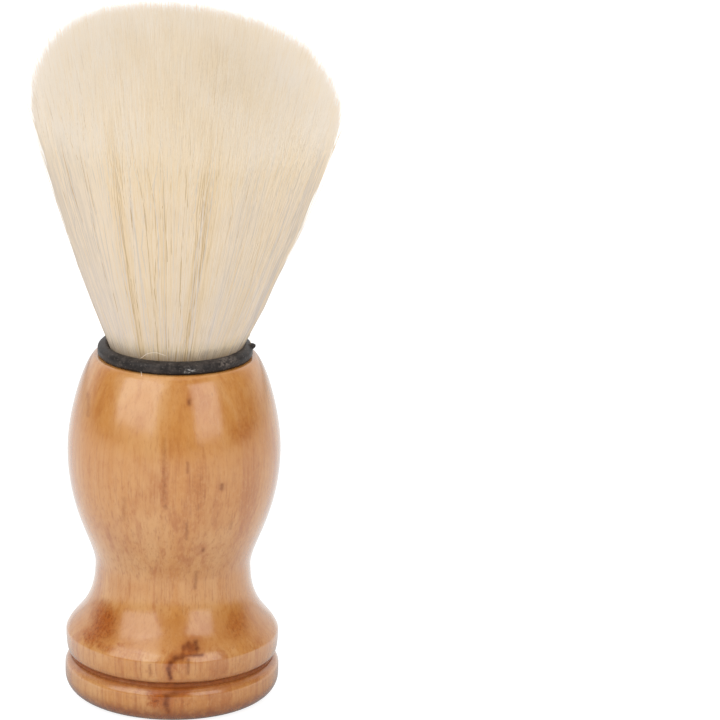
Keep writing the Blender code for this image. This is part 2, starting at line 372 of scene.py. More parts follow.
# Noise in the wood: its squeeze along the grain, then its scale, detail, roughness and distortion.
GRAIN = {
    "figure": (0.07, 0.16, 3.0, 0.55, 0.8),
    "bands": (0.07, 0.45, 3.0, 0.6, 0.6),
    "streaks": (0.07, 1.1, 4.0, 0.62, 0.3),
    "fibres": (0.04, 3.2, 3.0, 0.6, 0.0),
    "dashes": (0.13, 2.6, 2.0, 0.55, 0.0),
    "clouds": (1.0, 0.2, 2.0, 0.5, 0.0),
    "mottle": (0.5, 1.9, 4.0, 0.7, 0.0),
    "wander": (1.0, 0.9, 3.0, 0.6, 0.0),
    "speckle": (1.0, 2.4, 3.0, 0.65, 0.0),
}

# Layers of tone over the pale wood: the tone, the noise that places it, the values of that noise where
# it starts and is full, its share, and whether it is calmer on the upper belly.
WOOD_LAYERS = (
    ("honey_wood", "figure", 0.36, 0.62, 1.0, False),
    ("amber_wood", "clouds", 0.42, 0.72, 0.55, False),
    ("amber_wood", "streaks", 0.52, 0.78, 0.6, False),
    ("pale_wood", "streaks", 0.46, 0.24, 0.55, True),
    ("rust_wood", "bands", 0.48, 0.68, 0.5, True),
    ("brown_wood", "fibres", 0.5, 0.72, 0.4, True),
    ("brown_wood", "dashes", 0.65, 0.76, 0.14, True),
    ("rust_wood", "mottle", 0.5, 0.74, 0.4, True),
    ("pale_wood", "mottle", 0.5, 0.28, 0.45, True),
)

# Belts of the handle by height in millimetres: where each starts and is full, and where it is last full
# and ends. One with two values has no end. The groove's grime and painted shade also fade away from its
# middle and from the inside to the outside. The belts just above and below the groove and the underside
# hold painted shade, and the one below the groove also has some grime.
UPPER_BELLY = (34.0, 41.0)
BELLY_CALM = 0.45
BEAD_WASH = (9.8, 11.5, 14.2, 16.0)
BEAD_BELT = (9.4, 10.0, 15.0, 18.0)
ABOVE_GROOVE = (5.9, 6.1, 6.3, 7.1)
BELOW_GROOVE = (4.2, 5.4, 5.6, 6.2)
GROOVE_GRIME_AND_SHADE = (FOOT_HEIGHT + GROOVE_HEIGHT / 2) / MILLIMETRE + 0.1
GROOVE_GRIME_AND_SHADE_EDGE = (0.7, 0.1)
GROOVE_GRIME_AND_SHADE_RADIUS = (15.1, 14.6)
UNDERSIDE = (3.4, 1.0)

# Marks in the wood, in millimetres. A stain has its place, radii and strength. A line has its two
# ends across and up the front of the handle, half its width and its strength.
STAIN_CORE = 0.2
STAIN_WARP = (1.6, 0.0, 1.6)
STAIN_DULLS = 0.7
LINE_WARP = (0.4, 0.0, 0.4)
LINE_CORE = 2.4
LINE_HALO = 5.0
LINE_HALO_SHARE = 0.5
STAINS = (
    ((-9.7, -7.5, 13.4), (3.2, 7.0, 3.0), 0.9),
    ((-9.2, -8.4, 13.5), (1.2, 5.0, 1.3), 1.0),
    ((-10.0, -8.8, 12.0), (3.0, 5.0, 1.8), 0.9),
    ((-11.6, -8.4, 10.7), (2.4, 5.0, 1.4), 0.9),
    ((-9.4, -10.6, 10.2), (2.4, 4.0, 0.9), 0.7),
    ((-7.4, -12.2, 10.9), (0.7, 3.0, 0.45), 0.7),
    ((9.2, -9.0, 12.9), (2.8, 6.0, 2.6), 0.6),
    ((-2.1, -15.3, 4.2), (2.2, 3.0, 2.4), 1.4),
    ((1.7, -14.9, 4.9), (1.3, 3.0, 0.9), 1.0),
    ((1.6, -14.2, 5.7), (2.7, 3.0, 0.8), 1.0),
    ((0.3, -15.3, 8.5), (0.8, 3.0, 1.4), 0.6),
    ((2.7, -13.8, 10.9), (1.5, 3.0, 0.9), 0.9),
    ((1.5, -15.0, 3.4), (2.6, 3.0, 1.6), 0.4),
    ((2.0, -14.1, 42.0), (0.3, 3.0, 0.5), 0.15),
    # This wide, faint patch is painted shade that darkens the right of the bead band and foot, not a stain in
    # the wood.
    ((7.5, -13.0, 6.0), (7.0, 6.0, 5.5), 0.28),
    ((-1.3, -14.8, 36.0), (1.0, 3.0, 6.5), 0.45),
    ((3.6, -14.4, 35.0), (1.3, 3.0, 7.0), 0.4),
    ((9.5, -11.0, 42.5), (3.0, 4.0, 2.6), 0.35),
)
LINES = (
    ((-1.4, 42.1), (-1.3, 33.5), 0.20, 0.2),
    ((-1.2, 32.6), (-1.1, 32.2), 0.18, 0.35),
    ((-6.9, 33.0), (-6.9, 29.8), 0.26, 0.2),
    ((1.9, 38.9), (1.9, 37.6), 0.16, 0.4),
    ((6.7, 35.2), (6.7, 34.8), 0.26, 0.65),
    ((1.8, 29.8), (1.9, 27.3), 0.15, 0.4),
    ((4.2, 25.4), (4.2, 25.1), 0.18, 0.6),
    ((3.3, 21.6), (3.1, 18.9), 0.16, 0.4),
    ((8.1, 29.2), (8.0, 28.2), 0.18, 0.3),
    ((-12.1, 46.0), (-12.1, 43.4), 0.18, 0.3),
    ((2.0, 47.3), (2.0, 46.9), 0.22, 0.7),
    ((1.5, 10.4), (1.7, 11.2), 0.22, 0.8),
    ((1.7, 11.2), (2.3, 11.6), 0.26, 0.9),
    ((2.4, 11.5), (2.7, 11.0), 0.30, 0.9),
    ((3.3, 11.6), (3.5, 11.0), 0.32, 1.0),
    ((1.6, 10.3), (4.3, 10.25), 0.16, 0.8),
    ((1.4, 10.1), (0.5, 10.0), 0.28, 1.0),
    ((0.5, 10.0), (-0.2, 9.4), 0.26, 1.0),
    ((-0.2, 9.4), (-0.5, 8.5), 0.23, 1.0),
    ((-0.5, 8.5), (-0.2, 7.0), 0.23, 1.0),
    ((-0.5, 5.95), (3.2, 6.0), 0.26, 0.9),
    ((2.7, 5.5), (0.6, 5.0), 0.30, 1.0),
    ((0.6, 5.0), (-0.7, 4.4), 0.32, 1.0),
    ((-0.7, 4.4), (-0.8, 3.3), 0.32, 1.0),
    ((-0.8, 3.3), (-0.5, 2.0), 0.28, 0.9),
    ((-3.1, 8.9), (-3.1, 7.4), 0.15, 0.45),
    ((2.3, 9.7), (2.3, 7.8), 0.16, 0.6),
)


def line_gap(flat, start, end):
    """How far a place, with its depth left out, lies from a line between two points."""
    foot = Vector((start[0], 0.0, start[1]))
    run = Vector((end[0], 0.0, end[1])) - foot
    away = flat.vector("SUBTRACT", foot)
    along = away.vector("DOT_PRODUCT", run / run.length_squared, output="Value")
    along = along.math("MINIMUM", largest((along, 0.0)), 1.0)
    return away.vector("SUBTRACT", along.vector("MULTIPLY", run)).vector("LENGTH", output="Value")


def toned_wood(handle, height, grain):
    """Colour of the grain, layer by layer, with an amber wash over the bead."""
    calm = 1.0 - smooth(height, *UPPER_BELLY) * BELLY_CALM
    colour = handle.pale_wood
    for tone, name, start, full, share, calmed in WOOD_LAYERS:
        layer = smooth(grain[name], start, full) * share
        if calmed:
            layer = layer * calm
        colour = tint(colour, getattr(handle, tone), layer)
    return tint(colour, handle.amber_wood, belt(height, *BEAD_WASH) * 0.5)


def figured_wood(handle, colour, place, grain):
    """Stains and dark lines over the grain. Gives the colour and how far they dull the lacquer."""
    off = grain["wander"] - 0.5
    shift = off.node("ShaderNodeCombineXYZ", None, {0: off, 2: off})
    warped = place.vector("ADD", shift.vector("MULTIPLY", STAIN_WARP))
    broken = 0.6 + smooth(grain["mottle"], 0.35, 0.62) * 0.5
    spotted = smooth(grain["speckle"], 0.48, 0.62) * 0.5
    dulled = []
    for centre, radii, strength in STAINS:
        stain = mark(warped, centre, radii, STAIN_CORE) * broken * strength
        colour = tint(colour, handle.rust_wood, stain)
        colour = tint(colour, handle.knot_wood, stain * spotted)
        dulled.append(stain * STAIN_DULLS)
    drawn = place.vector("ADD", shift.vector("MULTIPLY", LINE_WARP))
    flat = drawn.vector("MULTIPLY", (1.0, 0.0, 1.0))
    front = smooth(place.axis("Y"), 0.0, -3.0) * (0.75 + smooth(grain["speckle"], 0.42, 0.58) * 0.25)
    for *ends, half_width, strength in LINES:
        gap = line_gap(flat, *ends)
        halo = smooth(gap, LINE_HALO * half_width, 0.0) * front
        core = smooth(gap, LINE_CORE * half_width, 0.0) * front * strength
        colour = tint(colour, handle.rust_wood, halo * (LINE_HALO_SHARE * strength))
        colour = tint(colour, handle.knot_wood, core)
        dulled.append(core)
    return colour, largest(dulled)


def pore_specks(place):
    """Small pores, in about a third of the cells that the wood is parted into."""
    pores = place.vector("MULTIPLY", (1.0, 1.0, 0.3))
    cells = {"Vector": pores, "Scale": 0.55, "Randomness": 1.0}
    nearness = pores.node("ShaderNodeTexVoronoi", None, cells, "Distance")
    chance = pores.node("ShaderNodeTexVoronoi", None, cells, "Color")
    pick = chance.node("ShaderNodeSeparateColor", None, {0: chance})
    return smooth(nearness, 0.11, 0.05) * smooth(pick, 0.66, 0.7)


def lacquered_wood(handle):
    """Honey-coloured hardwood with upright grain, brown figure and a clear gloss coat."""
    material, start = new_finish("lacquered_wood")
    place = object_millimetres(start)
    height = place.axis("Z")
    grain = {}
    for name, (squeeze, *settings) in GRAIN.items():
        grain[name] = noise(place.vector("MULTIPLY", (1.0, 1.0, squeeze)), *settings)
    colour = toned_wood(handle, height, grain)
    colour, dull = figured_wood(handle, colour, place, grain)

    from_axis = place.vector("MULTIPLY", (1.0, 1.0, 0.0)).vector("LENGTH", output="Value")
    # Grime and painted shade in the groove, fading away from its middle and from the inside out.
    from_groove = height.math("ABSOLUTE", height - GROOVE_GRIME_AND_SHADE) + (grain["speckle"] - 0.5) * 0.8
    groove = smooth(from_groove, *GROOVE_GRIME_AND_SHADE_EDGE) * smooth(from_axis, *GROOVE_GRIME_AND_SHADE_RADIUS)
    # Patches that break up the painted shade and grime round the groove and under the foot.
    patchiness = 0.6 + smooth(grain["wander"], 0.35, 0.6) * 0.4
    below_groove = belt(height, *BELOW_GROOVE) * patchiness
    underside = smooth(height, *UNDERSIDE) * patchiness
    # In the groove, grime and painted shade. Just above it, painted shade. Below it, a rust band that is
    # partly grime and partly painted shade. On the underside, painted shade that darkens towards the bottom.
    # The pores are the wood's own.
    dirt_and_shade = (
        (handle.brown_wood, groove),
        (handle.knot_wood, groove * smooth(grain["mottle"], 0.4, 0.6) * 0.8),
        (handle.brown_wood, belt(height, *ABOVE_GROOVE) * patchiness * 0.55),
        (handle.rust_wood, below_groove * 0.7),
        (handle.brown_wood, underside),
        (handle.knot_wood, underside * 0.2),
        (handle.knot_wood, pore_specks(place) * 0.24),
    )
    for tone, share in dirt_and_shade:
        colour = tint(colour, tone, share)

    on_bead = belt(height, *BEAD_BELT)
    lacquer = 1.0 - dull - groove - on_bead * 0.1
    ripple = noise(place, 0.5, 1.0) * 0.7 + grain["fibres"] * 0.2 + grain["mottle"] * 0.2
    bump = {"Strength": 0.24, "Distance": 0.0001, "Height": ripple}
    return close_finish(material, start, {
        "Base Color": colour,
        "Roughness": 0.13 + grain["streaks"] * 0.12 + groove * 0.5 + below_groove * 0.2 + on_bead * 0.03,
        "Specular IOR Level": 0.5,
        "Coat Weight": largest((lacquer, 0.0)),
        "Coat Roughness": handle.gloss_roughness,
        "Normal": start.node("ShaderNodeBump", None, bump),
    })


def scuffed_plastic(collar):
    """Black moulded plastic, greyed by dust and fine scuffs."""
    material, start = new_finish("black_plastic")
    place = object_millimetres(start)
    dust = smooth(noise(place, 0.7, 4.0, 0.7), 0.44, 0.68)
    settled = smooth(place.axis("Z"), 51.3, 52.0) * smooth(noise(place, 1.6, 4.0, 0.7), 0.34, 0.62)
    specks = smooth(noise(place, 3.4, 3.0, 0.7), 0.56, 0.68)
    streaks = noise(place.vector("MULTIPLY", (1.0, 1.0, 3.0)), 1.4, 4.0, 0.7)
    worn = mark(place, (7.4, -8.2, 51.6), (2.4, 3.0, 1.0))
    worn = worn * smooth(noise(place, 2.2, 3.0, 0.7), 0.42, 0.62)
    smears = mark(place, (2.0, -10.8, 51.0), (1.9, 1.5, 0.45)) * smooth(streaks, 0.5, 0.6)
    colour = collar.black
    for share in (dust * 0.17, settled * 0.08, specks * 0.34, worn * 0.5):
        colour = tint(colour, collar.dust, share)
    colour = tint(colour, collar.glue, smears * 0.45)
    bump = {"Strength": 0.2, "Distance": 0.00006, "Height": noise(place, 6.0, 2.0)}
    return close_finish(material, start, {
        "Base Color": colour,
        "Roughness": 0.4 + dust * 0.2 + worn * 0.2,
        "Specular IOR Level": 0.25,
        "Normal": start.node("ShaderNodeBump", None, bump),
    })


def pale_bristle(knot):
    """Bristle whose tone is picked by the strand, with painted shade that is darkest where it leaves the
    collar and lightens towards the tip.
    """
    material, start = new_finish("pale_bristle")
    strand = start.node("ShaderNodeUVMap", {"uv_map": "OFBake"})
    along, tone = strand.axis("X"), strand.axis("Y")
    tones = [
        (0.0, knot.tan_bristle),
        (0.08, knot.tan_bristle),
        (0.3, knot.yellow_bristle),
        (0.62, knot.cream_bristle),
        (1.0, knot.white_bristle),
    ]
    colour = start.node("ShaderNodeValToRGB", {"stops": tones}, {0: tone})
    # Painted shade along each strand: dark where the bristles leave the collar, and lighter towards the tips,
    # where the dome takes more light.
    painted_shades = [
        (0.0, (0.12, 0.10, 0.08)),
        (0.045, (0.19, 0.17, 0.145)),
        (0.065, (0.32, 0.29, 0.265)),
        (0.085, (0.48, 0.46, 0.445)),
        (0.11, (0.71, 0.70, 0.695)),
        (0.15, (0.83, 0.83, 0.88)),
        (0.36, (0.865, 0.865, 0.90)),
        (0.5, (0.89, 0.89, 0.92)),
        (0.7, (0.895, 0.895, 0.925)),
        (0.8, (0.945, 0.945, 0.955)),
        (0.92, (0.99, 0.99, 0.99)),
    ]
    flecks = noise(strand.vector("MULTIPLY", (14.0, 240.0, 0.0)), 1.0)
    painted_shade = start.node("ShaderNodeValToRGB", {"stops": painted_shades}, {0: along + (flecks - 0.5) * 0.08})
    # Short tan dashes along the strands: partly the bristles' own tone, partly painted shade for the gaps
    # between locks.
    colour = tint(colour, knot.tan_bristle, smooth(flecks, 0.58, 0.76) * 0.4)
    colour = tint(colour, knot.white_bristle, smooth(flecks, 0.44, 0.28) * 0.3)
    colour = tint(colour, painted_shade, 1.0, "MULTIPLY")
    # Painted shade: the palest bristles, which stand at the sides of the fan, are darkened from mid-length
    # up.
    painted_side_shade = smooth(tone, 0.55, 0.85) * smooth(along, 0.25, 0.55)
    colour = tint(colour, (0.94, 0.93, 0.90), painted_side_shade, "MULTIPLY")
    split = smooth(along, 0.8, 1.0) * (0.36 + smooth(tone, 0.44, 0.68) * 0.6)
    colour = tint(colour, knot.tip_bristle, split)
    return close_finish(material, start, {
        "Base Color": colour,
        "Roughness": 0.6,
        "Specular IOR Level": 0.12,
    })


def cast_resin(name, deep, clear):
    """Cloudy set resin or glue, from its deep to its clear tone."""
    material, start = new_finish(name)
    place = object_millimetres(start)
    clouds = noise(place, 0.5, 4.0, 0.6)
    bump = {"Strength": 0.25, "Distance": 0.0002, "Height": noise(place, 2.0, 2.0)}
    return close_finish(material, start, {
        "Base Color": tint(deep, clear, smooth(clouds, 0.3, 0.7)),
        "Roughness": 0.25 + clouds * 0.25,
        "Normal": start.node("ShaderNodeBump", None, bump),
    })


def waxed_cotton(colour, wax):
    """Undyed cotton thread, darker where wax has soaked in."""
    material, start = new_finish("waxed_thread")
    place = object_millimetres(start)
    soaked = smooth(noise(place, 0.9, 3.0, 0.6), 0.4, 0.7)
    bump = {"Strength": 0.4, "Distance": 0.00005, "Height": noise(place, 9.0, 2.0)}
    return close_finish(material, start, {
        "Base Color": tint(colour, wax, soaked * 0.7),
        "Roughness": 0.85 - soaked * 0.25,
        "Normal": start.node("ShaderNodeBump", None, bump),
    })


def begin_mesh(name):
    """Adds a plane at the origin, shrinks it to one vertex and stays in edit mode."""
    bpy.ops.object.select_all(action="DESELECT")
    bpy.ops.mesh.primitive_plane_add(size=MILLIMETRE, location=(0.0, 0.0, 0.0))
    piece = bpy.context.object
    piece.name = name
    piece.data.name = name
    bpy.ops.object.mode_set(mode="EDIT")
    bpy.ops.mesh.select_mode(type="VERT")
    bpy.ops.mesh.select_all(action="SELECT")
    bpy.ops.mesh.merge(type="CENTER")
    return piece


def turned(name, outline, segments, closed=False):
    """Draws an outline of (radius, height) points by extruding a vertex, and spins it about Z."""
    piece = begin_mesh(name)
    points = [Vector((radius, 0.0, height)) for radius, height in outline]
    if closed:
        points.append(points[0])
    bpy.ops.transform.translate(value=points[0])
    for here, there in zip(points, points[1:]):
        bpy.ops.mesh.extrude_region_move(TRANSFORM_OT_translate={"value": there - here})
    bpy.ops.mesh.select_all(action="SELECT")
    bpy.ops.mesh.remove_doubles(threshold=MERGE_DISTANCE)
    bpy.ops.mesh.spin(steps=segments, angle=math.tau, center=(0.0, 0.0, 0.0), axis=(0.0, 0.0, 1.0))
    bpy.ops.mesh.select_all(action="SELECT")
    bpy.ops.mesh.remove_doubles(threshold=MERGE_DISTANCE)
    bpy.ops.mesh.normals_make_consistent(inside=False)
    bpy.ops.object.mode_set(mode="OBJECT")
    return piece


def smooth_shaded(piece):
    """Shades a piece smooth, with its sharp edges kept."""
    bpy.ops.object.select_all(action="DESELECT")
    piece.select_set(True)
    bpy.context.view_layer.objects.active = piece
    bpy.ops.object.shade_smooth_by_angle(angle=SHARP_ANGLE)


def seat(piece, material, slot, *nodes):
    """Gives a piece its material and its place on the part."""
    piece.data.materials.clear()
    piece.data.materials.append(material)
    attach(piece, BODY)
    if nodes:
        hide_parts(*nodes)


def arc(centre, radii, start, end):
    """Points of an elliptical arc of an outline, from one angle to the other in degrees."""
    made = []
    for angle in np.radians(np.linspace(start, end, ROUND_POINTS)):
        made.append((centre[0] + radii[0] * math.cos(angle), centre[1] + radii[1] * math.sin(angle)))
    return made


def sweep(start, start_pull, end_pull, end):
    """A smooth stretch of an outline, without its first point."""
    corners = [Vector((*corner, 0.0)) for corner in (start, start_pull, end_pull, end)]
    return [(point.x, point.y) for point in interpolate_bezier(*corners, CURVE_POINTS + 1)[1:]]


def rest_of(corners, share):
    """The four corners of a smooth stretch of an outline once its first share is left out."""
    start, start_pull, end_pull, end = (Vector(corner) for corner in corners)
    first = start.lerp(start_pull, share)
    middle = start_pull.lerp(end_pull, share)
    last = end_pull.lerp(end, share)
    before = first.lerp(middle, share)
    after = middle.lerp(last, share)
    return before.lerp(after, share), after, last, end


def handle_outline(handle):
    """The turned outside from the middle of the base to the mouth, and the drilled socket."""
    bead_start = FOOT_HEIGHT + GROOVE_HEIGHT
    bead_top = bead_start + BEAD_HEIGHT
    neck_top = bead_top + NECK_HEIGHT
    belly_top = neck_top + BELLY_HEIGHT
    mouth_height = MOUTH_TOP - belly_top
    mouth_radius = COLLAR_HIGH.x + MOUTH_LAND
    groove_radius = handle.foot_radius - GROOVE_DEPTH
    foot_low = (handle.foot_radius - FOOT_BOTTOM_ROUND, FOOT_BOTTOM_ROUND)
    foot_high = (handle.foot_radius - FOOT_TOP_ROUND, FOOT_HEIGHT - FOOT_TOP_ROUND)
    band_top = bead_top + BEAD_BAND_RISE
    band_round = (BEAD_EDGE_ROUND, BEAD_HEIGHT + BEAD_BAND_RISE)
    outline = [(0.0, 0.0)]
    outline += arc(foot_low, (FOOT_BOTTOM_ROUND, FOOT_BOTTOM_ROUND), -90, 0)
    outline += arc(foot_high, (FOOT_TOP_ROUND, FOOT_TOP_ROUND), 0, GROOVE_EDGE_ANGLE)
    outline += arc((groove_radius + GROOVE_HEIGHT / 2, FOOT_HEIGHT + GROOVE_HEIGHT / 2),
                   (GROOVE_HEIGHT / 2, GROOVE_HEIGHT / 2), -90, -270)
    outline += arc((handle.bead_radius - BEAD_EDGE_ROUND, band_top), band_round, -GROOVE_EDGE_ANGLE, 0)
    bead_sweep = rest_of((
        (handle.bead_radius, bead_top),
        (handle.bead_radius, bead_top + BEAD_PULL * NECK_HEIGHT),
        (handle.neck_radius, neck_top - NECK_PULL_DOWN * NECK_HEIGHT),
        (handle.neck_radius, neck_top),
    ), BEAD_SHOULDER)
    shoulder, slope = bead_sweep[0], bead_sweep[0] - bead_sweep[1]
    back = (handle.bead_radius - BEAD_CREASE_DROP - shoulder.x) / slope.x
    crease = shoulder + slope * back
    outline += sweep((handle.bead_radius, band_top), crease, crease, shoulder)
    outline += sweep(*bead_sweep)
    outline += sweep(
        (handle.neck_radius, neck_top),
        (handle.neck_radius, neck_top + NECK_PULL_UP * BELLY_HEIGHT),
        (handle.belly_radius, belly_top - BELLY_PULL_DOWN * BELLY_HEIGHT),
        (handle.belly_radius, belly_top),
    )
    outline += sweep(
        (handle.belly_radius, belly_top),
        (handle.belly_radius, belly_top + BELLY_PULL_UP * mouth_height),
        (mouth_radius + MOUTH_PULL * mouth_height, MOUTH_TOP),
        (mouth_radius, MOUTH_TOP),
    )
    step_radius = BORE_RADIUS + COLLAR_WALL + GLUE_LINE
    step_floor = MOUTH_TOP - COLLAR_DEPTH
    socket_floor = MOUTH_TOP - SOCKET_DEPTH
    outline += [
        (step_radius, MOUTH_TOP),
        (step_radius, step_floor),
        (BORE_RADIUS, step_floor),
        (BORE_RADIUS, socket_floor),
        (0.0, socket_floor - DRILL_POINT),
    ]
    return outline


def collar_outline(collar):
    """The rounded rim on the mouth, its flared opening and the spigot in the socket."""
    underside = MOUTH_TOP + COLLAR_SEAT_GAP
    foot = COLLAR_LOW.z
    spigot_radius = BORE_RADIUS + COLLAR_WALL
    waist = (underside + COLLAR_RIM_TOP) / 2
    outline = [(spigot_radius, foot), (spigot_radius, underside)]
    outline += arc((collar.radius - COLLAR_EDGE, underside + COLLAR_EDGE), (COLLAR_EDGE, COLLAR_EDGE), -90, 0)
    outline += arc((COLLAR_CROWN, waist), (collar.radius - COLLAR_CROWN, COLLAR_RIM_TOP - waist), 0, 90)
    outline += arc((COLLAR_CROWN, ROOT_FACE), (COLLAR_CROWN - BORE_RADIUS, ROOT_RECESS), 90, 180)[1:]
    outline.append((BORE_RADIUS, foot))
    return outline


def raise_nib(piece, collar):
    """Draws out the small nib of plastic that the mould left on the right of the rim."""
    low, high = (MOUTH_TOP + share * (COLLAR_RIM_TOP - MOUTH_TOP) for share in NIB_BAND)
    bpy.ops.object.mode_set(mode="EDIT")
    bpy.ops.mesh.select_mode(type="FACE")
    bpy.ops.mesh.select_all(action="DESELECT")
    edited = bmesh.from_edit_mesh(piece.data)
    for face in edited.faces:
        centre = face.calc_center_median()
        near = abs(math.atan2(centre.y, centre.x) - NIB_ANGLE) < NIB_HALF_ANGLE
        outside = centre.xy.length > COLLAR_CROWN and face.normal.xy.length > NIB_FACING
        face.select_set(near and outside and low < centre.z < high)
    chosen = [face.calc_center_median() for face in edited.faces if face.select]
    if not chosen:
        raise RuntimeError("no face of the collar lies where the nib stands")
    middle = sum(chosen, Vector()) / len(chosen)
    outward = Vector((math.cos(NIB_ANGLE), math.sin(NIB_ANGLE), NIB_LEAN))
    bmesh.update_edit_mesh(piece.data)
    for rise, size in NIB_STEPS:
        step = outward * rise * collar.nib_height
        middle += step
        bpy.ops.mesh.extrude_region_move(TRANSFORM_OT_translate={"value": step})
        bpy.ops.transform.resize(value=(size, size, size), center_override=middle)
    bpy.ops.mesh.select_all(action="SELECT")
    bpy.ops.object.mode_set(mode="OBJECT")


def unevened(piece, strength, size):
    """Displaces a piece by soft clouds, so that its surface isn't quite even."""
    clouds = bpy.data.textures.new(piece.name + "_unevenness", "CLOUDS")
    clouds.noise_scale = size
    bpy.context.view_layer.objects.active = piece
    displace = piece.modifiers.new("unevenness", "DISPLACE")
    displace.texture = clouds
    displace.texture_coords = "LOCAL"
    displace.strength = strength
    bpy.ops.object.modifier_apply(modifier=displace.name)


def fan_radius(knot, height):
    """Radius of the bundle at a height over the roots: it flares, then turns upright."""
    root = KNOT_RADIUS + ROOT_FULLNESS
    drawn_in = (root + FAN_FLARE * FAN_WIDEST - knot.fan_radius) / FAN_WIDEST**FAN_CURVE
    return root + FAN_FLARE * height - drawn_in * np.maximum(height, 0.0) ** FAN_CURVE


def dome_height(knot, share, side, height):
    """Height of the cut dome over the place that a bristle has reached."""
    spread = fan_radius(knot, height)
    reach = np.minimum(share * spread / knot.fan_radius, 1.0)
    cap = (1.0 - reach**DOME_FULLNESS) ** (1.0 / DOME_FULLNESS)
    return FAN_WIDEST + (knot.loft - FAN_WIDEST) * cap - math.tan(DOME_TILT) * side * spread


def tip_heights(knot, roots):
    """Heights at which bristles meet the dome, found by halving."""
    share = np.linalg.norm(roots, axis=1)
    low = np.full(len(roots), FAN_WIDEST / 2)
    high = np.full(len(roots), 2 * knot.loft)
    for _ in range(40):
        middle = (low + high) / 2
        under = dome_height(knot, share, roots[:, 0], middle) > middle
        low = np.where(under, middle, low)
        high = np.where(under, high, middle)
    return low


def sunflower(count, crowding):
    """Points spread over the unit disc, crowded to its rim where crowding is under a half."""
    order = np.arange(count) + 0.5
    share = (order / count) ** crowding
    turn = order * GOLDEN_ANGLE
    return np.stack([share * np.cos(turn), share * np.sin(turn)], axis=1)


def nearest(points, centres):
    """Index of the centre that each point lies nearest to."""
    found = np.empty(len(points), int)
    for start in range(0, len(points), NEAREST_BATCH):
        batch = slice(start, start + NEAREST_BATCH)
        found[batch] = ((points[batch, None] - centres[None]) ** 2).sum(2).argmin(1)
    return found


def held_in(place, slack):
    """Keeps places within the rim of the fan, which gives softly over the last stretch."""
    share = np.linalg.norm(place, axis=1)
    over = np.maximum(share - RIM_START, 0.0)
    give = 1.0 - RIM_START + slack
    held = np.where(over > 0, RIM_START + give * np.tanh(over / give), share)
    return place * (held / np.maximum(share, 1e-9))[:, None]


def bristle_paths(knot, scatter):
    """Points along every bristle, its width there and its tone."""
    count = knot.strands
    roots = sunflower(count, ROOT_CROWDING)
    roots = held_in(roots + scatter.normal(0, ROOT_SCATTER, roots.shape), 0.0)
    locks = sunflower(knot.locks, ROOT_CROWDING)
    locks += scatter.normal(0, LOCK_SCATTER, locks.shape)
    member = nearest(roots, locks)

    lock_pull = scatter.uniform(0.0, knot.lock_pull, knot.locks)
    lock_sway = scatter.normal(0, LOCK_SWAY, (knot.locks, 2))
    lock_tone = scatter.normal(0, LOCK_TONE, knot.locks)
    lock_trim = scatter.normal(0, LOCK_TRIM, knot.locks)

    loose = scatter.random(count) < LOOSE_SHARE
    share = np.linalg.norm(roots, axis=1)
    outward = roots / np.maximum(share, 1e-9)[:, None]
    sideways = np.stack([-outward[:, 1], outward[:, 0]], axis=1)
    lean = outward * scatter.normal(0, np.where(loose, *LEAN_OUTWARD))[:, None]
    lean += sideways * scatter.normal(0, np.where(loose, *LEAN_SIDEWAYS))[:, None]
    bow = scatter.normal(0, BOW, (count, 2))
    wave = scatter.normal(0, knot.wave, (count, 2))
    phase = scatter.uniform(0, math.tau, count)
    pace = scatter.uniform(*WAVES, count) * math.tau
    slack = scatter.exponential(np.where(loose, *SLACK))
    slack *= 1 + SLACK_ON_RIGHT * np.maximum(roots[:, 0], 0.0)
    rim = np.clip((share - OUTER_START) / (1 - OUTER_START), 0.0, 1.0)
    trim = np.minimum(scatter.exponential(TRIM, count) * (1 + TRIM_AT_RIM * rim), TRIM_MOST)
    overlong = np.minimum(scatter.exponential(OVERLONG, count), OVERLONG_MOST)
    overlong *= scatter.random(count) < OVERLONG_SHARE
    tips = tip_heights(knot, roots) - trim + overlong + lock_trim[member] + TIP_RAISE
    girth = scatter.uniform(*GIRTHS, count)
    depth = np.where(roots[:, 1] < 0, TONE_IN_FRONT, TONE_BEHIND) * roots[:, 1]
    tone = TONE_MIDDLE + TONE_AT_SIDES * roots[:, 0] ** 2 + depth + lock_tone[member]
    tone = np.clip(tone + scatter.normal(0, TONE_SCATTER, count), *TONE_ENDS)
    tone = np.where(scatter.random(count) < DARK_SHARE, scatter.uniform(*DARK_TONES, count), tone)
    fringe = scatter.random(count) < FRINGE_SHARE
    bow += outward * (fringe * scatter.exponential(FRINGE_BOW, count))[:, None]
    slack = np.where(fringe, slack + FRINGE_SLACK, slack)
    tone = np.where(fringe, FRINGE_TONE, tone)

    centres = locks[member]
    paths = np.empty((count, len(STATIONS), 3))
    for station, along in enumerate(STATIONS):
        height = along * (tips + ROOT_BURY) - ROOT_BURY
        gather = lock_pull[member] * math.sin(math.pi * along**GATHER_SKEW) ** GATHER_POWER
        place = centres + (roots - centres) * (1 - gather)[:, None]
        place += (lock_sway[member] + lean) * along**LEAN_POWER + bow * math.sin(math.pi * along)
        place += wave * (np.sin(phase + pace * along) * min(along / WAVE_START, 1.0))[:, None]
        place = held_in(place, slack)
        curl = max((along - RIM_CURL_START) / (1 - RIM_CURL_START), 0.0) ** 2
        place *= (1 - RIM_CURL * rim * curl)[:, None]
        drift = FAN_DRIFT * (np.maximum(height, 0.0) / knot.loft) ** FAN_DRIFT_POWER
        spread = fan_radius(knot, height)
        paths[:, station, 0] = place[:, 0] * spread + drift
        paths[:, station, 1] = place[:, 1] * spread
        paths[:, station, 2] = ROOT_FACE + height
    widths = girth[:, None] * knot.strand_width * np.array(STATION_WIDTHS)[None]
    return paths, widths, tone


